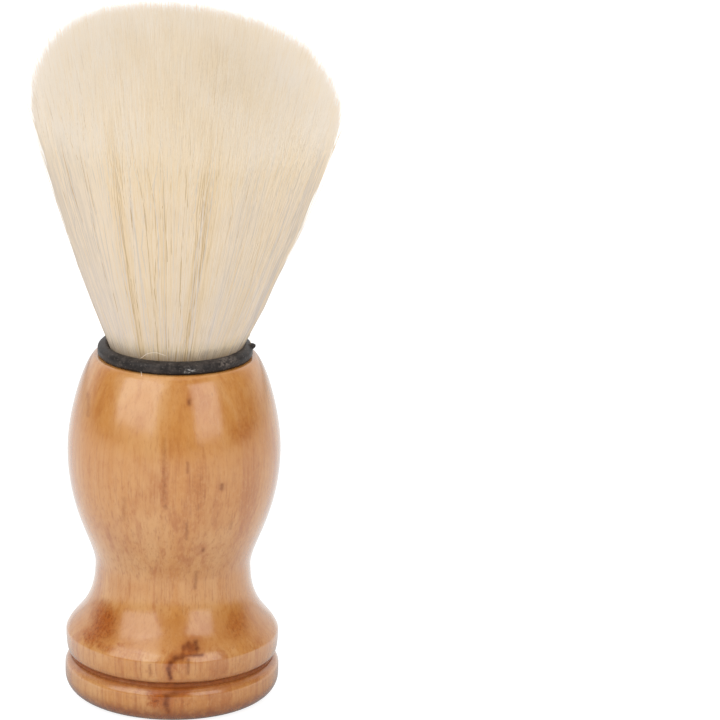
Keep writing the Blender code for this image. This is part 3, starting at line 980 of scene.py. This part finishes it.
def stray_paths():
    """Points along the stray hairs, with their widths and tones."""
    paths = np.empty((len(STRAYS), len(STATIONS), 3))
    for path, (_, points) in zip(paths, STRAYS):
        places = np.linspace(0.0, 1.0, len(points))
        for axis in range(3):
            path[:, axis] = np.interp(STATIONS, places, [point[axis] * MILLIMETRE for point in points])
    widths = np.full((len(STRAYS), len(STATION_WIDTHS)), STRAY_WIDTH)
    return paths, widths, np.array([tone for tone, _ in STRAYS])


def unit(vectors):
    """Vectors of length 1 along the last axis."""
    return vectors / np.linalg.norm(vectors, axis=-1, keepdims=True)


def strand_points(knot, paths, widths, scatter):
    """Corners of every strand's rings and its tip, with the normals that they are shaded by."""
    ahead = np.diff(paths, axis=1)
    tangent = unit(np.concatenate([ahead, ahead[:, -1:]], axis=1))
    radial = paths * np.array([1.0, 1.0, 0.0]) + np.array([1e-9, 0.0, 0.0])
    outward = unit(radial - (radial * tangent).sum(2, keepdims=True) * tangent)
    across = np.cross(tangent, outward)

    reach = np.minimum(np.linalg.norm(radial[:, -1], axis=1) / knot.fan_radius, 1.0)
    rise = np.maximum(1.0 - reach**DOME_FULLNESS, 0.0) ** (1.0 / DOME_FULLNESS)
    dome = unit(radial[:, -1]) * (reach ** (DOME_FULLNESS - 1) / knot.fan_radius)[:, None]
    dome[:, 2] = rise ** (DOME_FULLNESS - 1) / (knot.loft - FAN_WIDEST)
    dome = unit(dome + np.array([0.0, 0.0, 1e-6]))
    crown = np.clip((np.array(STATIONS) - CROWN_START) / (1 - CROWN_START), 0.0, 1.0)[None, :, None]
    facing = unit(outward * (1 - crown) + dome[:, None] * crown)
    lift = NORMAL_LIFT + (CROWN_LIFT - NORMAL_LIFT) * crown
    facing = unit(facing * (1 - lift) + np.array([0.0, 0.0, 1.0]) * lift)

    twist = scatter.normal(0, STRAND_TWIST, len(paths))
    corners, normals = [], []
    for corner in STRAND_CORNERS:
        angle = (twist + corner)[:, None, None]
        offset = np.cos(angle) * outward + np.sin(angle) * across
        corners.append(paths[:, :-1] + (offset[:, :-1] * widths[:, :, None] / math.sqrt(3)))
        normals.append(unit(facing + STRAND_ROUNDNESS * offset)[:, :-1])
    count = len(paths)
    points = np.concatenate([np.stack(corners, 2).reshape(count, -1, 3), paths[:, -1:]], axis=1)
    normals = np.concatenate([np.stack(normals, 2).reshape(count, -1, 3), facing[:, -1:]], axis=1)
    return points, normals


def strand_mesh(name, points, normals, tone):
    """One mesh of many strands. Its map runs along each strand and across to its tone."""
    count, per_strand = points.shape[:2]
    levels, sides = len(STATIONS) - 1, len(STRAND_CORNERS)
    corner = np.arange(levels * sides).reshape(levels, sides)
    following = np.roll(corner, -1, axis=1)
    quads = np.stack([corner[:-1], following[:-1], following[1:], corner[1:]], axis=2).reshape(-1, 4)
    ends = np.stack([corner[-1], following[-1], np.full(sides, levels * sides)], axis=1)
    foot = corner[0, ::-1]
    loops = np.concatenate([quads.ravel(), ends.ravel(), foot])
    sizes = np.concatenate([np.full(len(quads), 4), np.full(len(ends) + 1, 3)])

    along = np.append(np.repeat(np.array(STATIONS[:-1]), sides), 1.0)[loops]
    along[-sides:] += (0.0, MAP_FOOT, 0.0)
    quad_sides = np.tile([-1.0, 1.0, 1.0, -1.0], len(quads))
    end_sides = np.tile([-1.0, 1.0, 0.0], len(ends) + 1)
    maps = np.empty((count, len(loops), 2), np.float32)
    maps[:, :, 0] = MAP_MARGIN + (1 - 2 * MAP_MARGIN) * along
    maps[:, :, 1] = tone[:, None] + np.concatenate([quad_sides, end_sides])[None] * TONE_WIDTH

    all_loops = (loops[None] + per_strand * np.arange(count)[:, None]).ravel()
    all_sizes = np.tile(sizes, count)
    starts = np.concatenate([[0], np.cumsum(all_sizes)[:-1]])
    mesh = bpy.data.meshes.new(name)
    mesh.vertices.add(count * per_strand)
    mesh.vertices.foreach_set("co", points.astype(np.float32).ravel())
    mesh.loops.add(len(all_loops))
    mesh.loops.foreach_set("vertex_index", all_loops.astype(np.int32))
    mesh.polygons.add(len(all_sizes))
    mesh.polygons.foreach_set("loop_start", starts.astype(np.int32))
    mesh.uv_layers.new(name="OFBake")
    mesh.uv_layers["OFBake"].data.foreach_set("uv", maps.ravel())
    mesh.update()
    mesh.shade_smooth()
    mesh.normals_split_custom_set_from_vertices(normals.reshape(-1, 3))
    piece = bpy.data.objects.new(name, mesh)
    bpy.context.scene.collection.objects.link(piece)
    return piece


def slice_outline():
    """The slice of resin that the bristles grow out of, a little higher in its middle."""
    low = ROOT_FACE - ROOT_SLICE
    return [
        (0.0, low),
        (KNOT_RADIUS - SLICE_EDGE, low),
        (KNOT_RADIUS, low + SLICE_EDGE),
        (KNOT_RADIUS, ROOT_FACE - SLICE_EDGE),
        (KNOT_RADIUS - SLICE_EDGE, ROOT_FACE),
        (0.6 * KNOT_RADIUS, ROOT_FACE + SLICE_EDGE),
        (0.0, ROOT_FACE + 1.5 * SLICE_EDGE),
    ]


def wound_thread():
    """Two plies twisted into one thread, wound round the waist of the plug."""
    radius = THREAD_HIGH.x - THREAD_DIAMETER / 2
    low = THREAD_LOW.z + THREAD_DIAMETER / 2
    rise = THREAD_HIGH.z - THREAD_LOW.z - THREAD_DIAMETER
    ply = THREAD_DIAMETER / 4
    curve = bpy.data.curves.new("wound_thread", "CURVE")
    curve.dimensions = "3D"
    curve.bevel_depth = ply
    curve.bevel_resolution = 1
    curve.use_fill_caps = True
    steps = THREAD_TURNS * THREAD_POINTS_PER_TURN
    for start in (0.0, math.pi):
        spline = curve.splines.new("POLY")
        spline.points.add(steps)
        for step, point in enumerate(spline.points):
            turn = step / THREAD_POINTS_PER_TURN
            angle = turn * math.tau
            twist = start + angle * PLY_TWISTS_PER_TURN
            reach = radius + ply * math.cos(twist)
            height = low + rise * step / steps + ply * math.sin(twist)
            point.co = (reach * math.cos(angle), reach * math.sin(angle), height, 1.0)
    piece = bpy.data.objects.new("wound_thread", curve)
    bpy.context.scene.collection.objects.link(piece)
    bpy.ops.object.select_all(action="DESELECT")
    piece.select_set(True)
    bpy.context.view_layer.objects.active = piece
    bpy.ops.object.convert(target="MESH")
    return bpy.context.object


def seen_ray(start):
    """1 for what the camera sees, also in a reflection or through something clear."""
    names = ("Is Camera Ray", "Is Glossy Ray", "Is Transmission Ray")
    return largest(start.node("ShaderNodeLightPath", output=name) for name in names)


def lay_floor(stage):
    """A wide pale floor that is white to the eye and still takes the brush's shadow."""
    bpy.ops.object.select_all(action="DESELECT")
    bpy.ops.mesh.primitive_plane_add(size=FLOOR_SIZE, location=(0.0, 0.0, 0.0))
    floor = bpy.context.object
    floor.name = "floor"
    material, start = new_finish("white_floor")
    lit = start.node("ShaderNodeBsdfDiffuse", None, {"Color": stage.floor_colour})
    dim = start.node("ShaderNodeBsdfDiffuse", None, {"Color": FLOOR_DIM})
    mirrored = start.node("ShaderNodeLightPath", output="Is Glossy Ray")
    place = start.node("ShaderNodeTexCoord", output="Object")
    # Seen in reflections, the floor's glow is painted light: a pool round the brush, with a painted contact
    # shadow right next to it, dimmer in front and far away.
    nearby = belt(place.vector("LENGTH", output="Value"), *FLOOR_NEAR)
    in_front = smooth(place.axis("Y"), *FLOOR_FRONT)
    reflected = MIRRORED_FAR + nearby * (1 - in_front * FLOOR_FRONT_DIMS) * MIRRORED_NEAR
    strength = FLOOR_GLOW + mirrored * (reflected - FLOOR_GLOW)
    glow = start.node("ShaderNodeEmission", None, {"Color": WHITE, "Strength": strength})
    seen = start.node("ShaderNodeAddShader", None, {0: dim, 1: glow})
    mixed = start.node("ShaderNodeMixShader", None, {0: seen_ray(start), 1: lit, 2: seen})
    start.node("ShaderNodeOutputMaterial", None, {"Surface": mixed})
    floor.data.materials.append(material)


def light_surroundings():
    """A studio that is white behind the brush and dim in front of it."""
    world = bpy.data.worlds.new("studio")
    world.use_nodes = True
    world.node_tree.nodes.clear()
    bpy.context.scene.world = world
    start = Wire(world.node_tree)
    direction = start.node("ShaderNodeTexCoord", output="Generated")
    across, depth, height = (direction.axis(name) for name in "XYZ")
    behind = smooth(depth, *BACKDROP) * BACKDROP_LIGHT
    strip = belt(height, *STRIP) * STRIP_LIGHT
    card = belt(height, *CARD_UP) * belt(across, *CARD_ACROSS) * smooth(depth, *CARD_FRONT)
    studio = STUDIO_DARK + largest((behind, strip)) * (1 - STUDIO_DARK) + card * CARD_LIGHT
    glossy = start.node("ShaderNodeLightPath", output="Is Glossy Ray")
    camera = start.node("ShaderNodeLightPath", output="Is Camera Ray")
    fill = SOFT_FILL + smooth(height, *CEILING) * CEILING_FILL - smooth(across, *RIGHT_SIDE) * RIGHT_DIMS
    strength = largest((camera, studio * glossy + (1 - glossy) * fill))
    background = start.node("ShaderNodeBackground", None, {"Color": WHITE, "Strength": strength})
    start.node("ShaderNodeOutputWorld", None, {"Surface": background})


def softbox(name, azimuth, elevation, size, power):
    """A soft light that looks at the middle of the brush, from its angles in degrees."""
    turn, lift = math.radians(azimuth), math.radians(elevation)
    away = Vector((math.sin(turn) * math.cos(lift), -math.cos(turn) * math.cos(lift), math.sin(lift)))
    bpy.ops.object.light_add(type="AREA", location=Vector(LIGHT_AIM) + away * LIGHT_DISTANCE)
    lamp = bpy.context.object
    lamp.name = name
    lamp.rotation_euler = away.to_track_quat("Z", "Y").to_euler()
    lamp.data.shape = "RECTANGLE"
    lamp.data.size, lamp.data.size_y = size
    lamp.data.energy = power


def place_camera(stage):
    """The camera of the photograph: in front, a little above, with the brush left of the middle."""
    bpy.ops.object.camera_add(location=stage.camera_place)
    camera = bpy.context.object
    camera.data.sensor_width = SENSOR_WIDTH
    camera.data.lens = stage.focal_pixels * SENSOR_WIDTH / IMAGE_WIDTH
    camera.data.clip_start = CLIP_START
    yaw, pitch = stage.camera_yaw, stage.camera_pitch
    forward = Vector((math.sin(yaw) * math.cos(pitch), math.cos(yaw) * math.cos(pitch), -math.sin(pitch)))
    level = forward.to_track_quat("-Z", "Y").to_matrix()
    camera.rotation_euler = (level @ Matrix.Rotation(stage.camera_roll, 3, "Z")).to_euler()
    bpy.context.scene.camera = camera


class HandleProperties(PropertyGroup):
    """Sizes and finish of the wooden handle."""

    foot_radius: FloatProperty(
        name="Foot radius", description="Radius of the disc that the brush stands on",
        default=HANDLE_HIGH.x, min=0.012, max=0.02, unit="LENGTH", precision=5,
    )
    bead_radius: FloatProperty(
        name="Bead radius", description="Radius of the bead over the groove",
        default=0.0153, min=0.012, max=0.02, unit="LENGTH", precision=5,
    )
    neck_radius: FloatProperty(
        name="Neck radius", description="Radius of the waist between bead and belly",
        default=0.01115, min=0.0105, max=0.015, unit="LENGTH", precision=5,
    )
    belly_radius: FloatProperty(
        name="Belly radius", description="Radius of the belly that the fingers hold",
        default=0.0152, min=0.013, max=0.02, unit="LENGTH", precision=5,
    )
    segments: IntProperty(
        name="Segments", description="Steps of the spin round the turning axis",
        default=160, min=24, max=256,
    )
    pale_wood: FloatVectorProperty(
        name="Pale wood", description="Lightest tone of the grain",
        default=(0.505, 0.257, 0.090), size=3, min=0, max=1, subtype="COLOR",
    )
    honey_wood: FloatVectorProperty(
        name="Honey wood", description="Main tone of the wood",
        default=(0.46, 0.198, 0.048), size=3, min=0, max=1, subtype="COLOR",
    )
    amber_wood: FloatVectorProperty(
        name="Amber wood", description="Deep tone of clouds and streaks",
        default=(0.40, 0.149, 0.024), size=3, min=0, max=1, subtype="COLOR",
    )
    # Also the rust band under the groove, which is partly grime and partly painted shade.
    rust_wood: FloatVectorProperty(
        name="Rust wood", description="Reddish stains and upright bands",
        default=(0.31, 0.078, 0.008), size=3, min=0, max=1, subtype="COLOR",
    )
    # Also the grime and painted shade in the groove, the painted shade just above it and the painted shade
    # under the foot.
    brown_wood: FloatVectorProperty(
        name="Brown wood", description="Fibres and dashes of the grain",
        default=(0.25, 0.068, 0.012), size=3, min=0, max=1, subtype="COLOR",
    )
    # Also the grime and painted shade in the groove, and the painted shade under the foot.
    knot_wood: FloatVectorProperty(
        name="Knot wood", description="Dark curls, pores and specks",
        default=(0.135, 0.031, 0.004), size=3, min=0, max=1, subtype="COLOR",
    )
    gloss_roughness: FloatProperty(
        name="Gloss roughness", description="How much the lacquer blurs reflections",
        default=0.17, min=0, max=1, subtype="FACTOR",
    )


class CollarProperties(PropertyGroup):
    """Sizes and colours of the black collar."""

    radius: FloatProperty(
        name="Collar radius", description="Outside radius of the collar's rim",
        default=COLLAR_HIGH.x, min=0.0105, max=0.013, unit="LENGTH", precision=5,
    )
    nib_height: FloatProperty(
        name="Nib height", description="How far the nib left by the mould stands out",
        default=0.0006, min=0, max=0.001, unit="LENGTH", precision=5,
    )
    black: FloatVectorProperty(
        name="Plastic", description="Colour of the clean plastic",
        default=(0.0145, 0.0112, 0.0100), size=3, min=0, max=1, subtype="COLOR",
    )
    dust: FloatVectorProperty(
        name="Dust", description="Colour of dust and scuffs",
        default=(0.20, 0.16, 0.135), size=3, min=0, max=1, subtype="COLOR",
    )
    glue: FloatVectorProperty(
        name="Glue", description="Colour of the thin smears of glue at the front",
        default=(0.50, 0.48, 0.45), size=3, min=0, max=1, subtype="COLOR",
    )


class KnotProperties(PropertyGroup):
    """Sizes and colours of the bristle knot."""

    strands: IntProperty(
        name="Bristles", description="Number of bristles in the knot",
        default=44000, min=400, max=46000,
    )
    locks: IntProperty(
        name="Locks", description="Number of loose locks that bristles gather into",
        default=560, min=20, max=2000,
    )
    lock_pull: FloatProperty(
        name="Lock pull", description="Most that a lock draws its bristles together",
        default=0.3, min=0, max=1, subtype="FACTOR",
    )
    wave: FloatProperty(
        name="Wave", description="Waviness of single bristles, as a share of the bundle's radius",
        default=0.015, min=0, max=0.1,
    )
    fan_radius: FloatProperty(
        name="Fan radius", description="Largest radius of the fan",
        default=(BRISTLES_HIGH.y - BRISTLES_LOW.y) / 2, min=0.012, max=0.03, unit="LENGTH", precision=5,
    )
    loft: FloatProperty(
        name="Loft", description="Height of the dome over the bristle roots",
        default=BRISTLES_HIGH.z - ROOT_FACE, min=0.03, max=0.07, unit="LENGTH", precision=5,
    )
    strand_width: FloatProperty(
        name="Bristle width", description="Full width of one bristle",
        default=0.00012, min=0.00003, max=0.001, unit="LENGTH", precision=5,
    )
    # Also the short tan dashes along the strands, which are partly painted shade between locks.
    tan_bristle: FloatVectorProperty(
        name="Tan bristle", description="The few darkest bristles",
        default=(0.71, 0.51, 0.275), size=3, min=0, max=1, subtype="COLOR",
    )
    yellow_bristle: FloatVectorProperty(
        name="Yellow bristle", description="Yellowed bristles",
        default=(0.96, 0.75, 0.475), size=3, min=0, max=1, subtype="COLOR",
    )
    cream_bristle: FloatVectorProperty(
        name="Cream bristle", description="Most of the bristles",
        default=(0.985, 0.825, 0.62), size=3, min=0, max=1, subtype="COLOR",
    )
    white_bristle: FloatVectorProperty(
        name="White bristle", description="The palest bristles",
        default=(0.82, 0.715, 0.605), size=3, min=0, max=1, subtype="COLOR",
    )
    tip_bristle: FloatVectorProperty(
        name="Bristle tips", description="Split ends of the bristles",
        default=(1.0, 0.885, 0.75), size=3, min=0, max=1, subtype="COLOR",
    )


class InsideProperties(PropertyGroup):
    """Colours of the pieces that the knot and the handle hide."""

    deep_resin: FloatVectorProperty(
        name="Deep resin", description="Darkest tone of the cast resin",
        default=(0.38, 0.24, 0.08), size=3, min=0, max=1, subtype="COLOR",
    )
    clear_resin: FloatVectorProperty(
        name="Clear resin", description="Lightest tone of the cast resin",
        default=(0.62, 0.46, 0.22), size=3, min=0, max=1, subtype="COLOR",
    )
    deep_glue: FloatVectorProperty(
        name="Deep glue", description="Darkest tone of the set glue",
        default=(0.52, 0.42, 0.2), size=3, min=0, max=1, subtype="COLOR",
    )
    clear_glue: FloatVectorProperty(
        name="Clear glue", description="Lightest tone of the set glue",
        default=(0.78, 0.72, 0.54), size=3, min=0, max=1, subtype="COLOR",
    )
    cotton: FloatVectorProperty(
        name="Cotton", description="Colour of the undyed thread",
        default=(0.74, 0.68, 0.54), size=3, min=0, max=1, subtype="COLOR",
    )
    wax: FloatVectorProperty(
        name="Wax", description="Colour of the thread where wax has soaked in",
        default=(0.5, 0.42, 0.27), size=3, min=0, max=1, subtype="COLOR",
    )


class StageProperties(PropertyGroup):
    """Camera, floor and light."""

    camera_place: FloatVectorProperty(
        name="Camera place", description="Where the camera stands",
        default=(0.0, -0.540, 0.2079), size=3, subtype="XYZ", unit="LENGTH", precision=4,
    )
    camera_yaw: FloatProperty(
        name="Camera yaw", description="Turn to the right of the brush",
        default=math.radians(2.779), subtype="ANGLE",
    )
    camera_pitch: FloatProperty(
        name="Camera pitch", description="Look down from level",
        default=math.radians(16.315), subtype="ANGLE",
    )
    camera_roll: FloatProperty(
        name="Camera roll", description="Lean of the camera about its line of sight",
        default=math.radians(1.36), subtype="ANGLE",
    )
    focal_pixels: FloatProperty(
        name="Focal length", description="Focal length in pixels of the square picture",
        default=3969.0, min=500, max=9000,
    )
    floor_colour: FloatVectorProperty(
        name="Floor", description="Colour of the floor and backdrop",
        default=(0.8, 0.8, 0.8), size=3, min=0, max=1, subtype="COLOR",
    )
    left_power: FloatProperty(
        name="Left light", description="Power of the soft light on the left",
        default=0.99, min=0, max=20, unit="POWER",
    )
    right_power: FloatProperty(
        name="Right light", description="Power of the soft light on the right",
        default=0.60, min=0, max=20, unit="POWER",
    )


class SHAVING_BRUSH_OT_turn_handle(Operator):
    """Turns the wooden handle with its socket and lacquers it"""

    bl_idname = "shaving_brush.turn_handle"
    bl_label = "Turn handle"

    def execute(self, context):
        handle = context.scene.shaving_brush_handle
        piece = turned("turned_handle", handle_outline(handle), handle.segments)
        smooth_shaded(piece)
        seat(piece, lacquered_wood(handle), "wood", "handle")
        return {"FINISHED"}


class SHAVING_BRUSH_OT_mould_collar(Operator):
    """Moulds the black collar with its nib and scuffs"""

    bl_idname = "shaving_brush.mould_collar"
    bl_label = "Mould collar"

    def execute(self, context):
        collar = context.scene.shaving_brush_collar
        segments = context.scene.shaving_brush_handle.segments
        piece = turned("moulded_collar", collar_outline(collar), segments, closed=True)
        raise_nib(piece, collar)
        unevened(piece, MOULD_UNEVENNESS, MOULD_PATCH)
        smooth_shaded(piece)
        seat(piece, scuffed_plastic(collar), "collar_plastic", "collar")
        return {"FINISHED"}


class SHAVING_BRUSH_OT_fill_knot(Operator):
    """Fills the knot with bristles, in ten sectors"""

    bl_idname = "shaving_brush.fill_knot"
    bl_label = "Fill knot"

    def execute(self, context):
        knot = context.scene.shaving_brush_knot
        scatter = np.random.default_rng(SCATTER_SEED)
        bristles_and_strays = zip(bristle_paths(knot, scatter), stray_paths())
        paths, widths, tone = (np.concatenate(both) for both in bristles_and_strays)
        points, normals = strand_points(knot, paths, widths, scatter)
        material = pale_bristle(knot)
        turn = np.arctan2(paths[:, 0, 1], paths[:, 0, 0])
        for sector, chosen in enumerate(np.array_split(np.argsort(turn), KNOT_SECTORS)):
            piece = strand_mesh(f"bristles_{sector + 1}", points[chosen], normals[chosen], tone[chosen])
            piece.visible_shadow = False
            piece.visible_diffuse = False
            seat(piece, material, "bristle", "bristles")
        return {"FINISHED"}


class SHAVING_BRUSH_OT_bind_knot(Operator):
    """Makes the inside of the knot: root slice, binding thread, plug and glue bed"""

    bl_idname = "shaving_brush.bind_knot"
    bl_label = "Bind knot"

    def execute(self, context):
        inside = context.scene.shaving_brush_inside
        segments = context.scene.shaving_brush_handle.segments
        resin = cast_resin("cast_resin", inside.deep_resin, inside.clear_resin)
        root_slice = turned("root_slice", slice_outline(), segments)
        smooth_shaded(root_slice)
        seat(root_slice, resin, "resin")

        seat(wound_thread(), waxed_cotton(inside.cotton, inside.wax), "thread", "binding_thread")

        glue = cast_resin("set_glue", inside.deep_glue, inside.clear_glue)
        for name, material in (("knot_plug", resin), ("glue_bed", glue)):
            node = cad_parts[name]
            node.data.materials.clear()
            node.data.materials.append(material)
        return {"FINISHED"}


class SHAVING_BRUSH_OT_set_stage(Operator):
    """Sets the floor, the soft lights, the white surroundings and the camera"""

    bl_idname = "shaving_brush.set_stage"
    bl_label = "Set stage"

    def execute(self, context):
        stage = context.scene.shaving_brush_stage
        lay_floor(stage)
        light_surroundings()
        softbox("left_light", azimuth=-46, elevation=27, size=(0.46, 0.38), power=stage.left_power)
        softbox("right_light", azimuth=39, elevation=23, size=(0.28, 0.36), power=stage.right_power)
        place_camera(stage)
        context.scene.view_settings.view_transform = "Standard"
        return {"FINISHED"}


class SHAVING_BRUSH_PT_panel(Panel):
    """Lists the steps and the sizes of the shaving brush"""

    bl_label = "Shaving Brush"
    bl_space_type = "VIEW_3D"
    bl_region_type = "UI"
    bl_category = "Shaving Brush"

    def draw(self, context):
        for operator in OPERATORS:
            self.layout.operator(operator.bl_idname)
        for name in GROUPS:
            group = getattr(context.scene, name)
            box = self.layout.box()
            for field in group.__annotations__:
                box.prop(group, field)


OPERATORS = (
    SHAVING_BRUSH_OT_turn_handle,
    SHAVING_BRUSH_OT_mould_collar,
    SHAVING_BRUSH_OT_fill_knot,
    SHAVING_BRUSH_OT_bind_knot,
    SHAVING_BRUSH_OT_set_stage,
)
GROUPS = {
    "shaving_brush_handle": HandleProperties,
    "shaving_brush_collar": CollarProperties,
    "shaving_brush_knot": KnotProperties,
    "shaving_brush_inside": InsideProperties,
    "shaving_brush_stage": StageProperties,
}


def register():
    for kind in (*GROUPS.values(), *OPERATORS, SHAVING_BRUSH_PT_panel):
        bpy.utils.register_class(kind)
    for name, kind in GROUPS.items():
        setattr(bpy.types.Scene, name, PointerProperty(type=kind))


def unregister():
    for name in GROUPS:
        delattr(bpy.types.Scene, name)
    for kind in reversed((*GROUPS.values(), *OPERATORS, SHAVING_BRUSH_PT_panel)):
        bpy.utils.unregister_class(kind)


def main():
    register()
    bpy.ops.shaving_brush.turn_handle()
    bpy.ops.shaving_brush.mould_collar()
    bpy.ops.shaving_brush.fill_knot()
    bpy.ops.shaving_brush.bind_knot()
    bpy.ops.shaving_brush.set_stage()


if __name__ == "__main__":
    main()
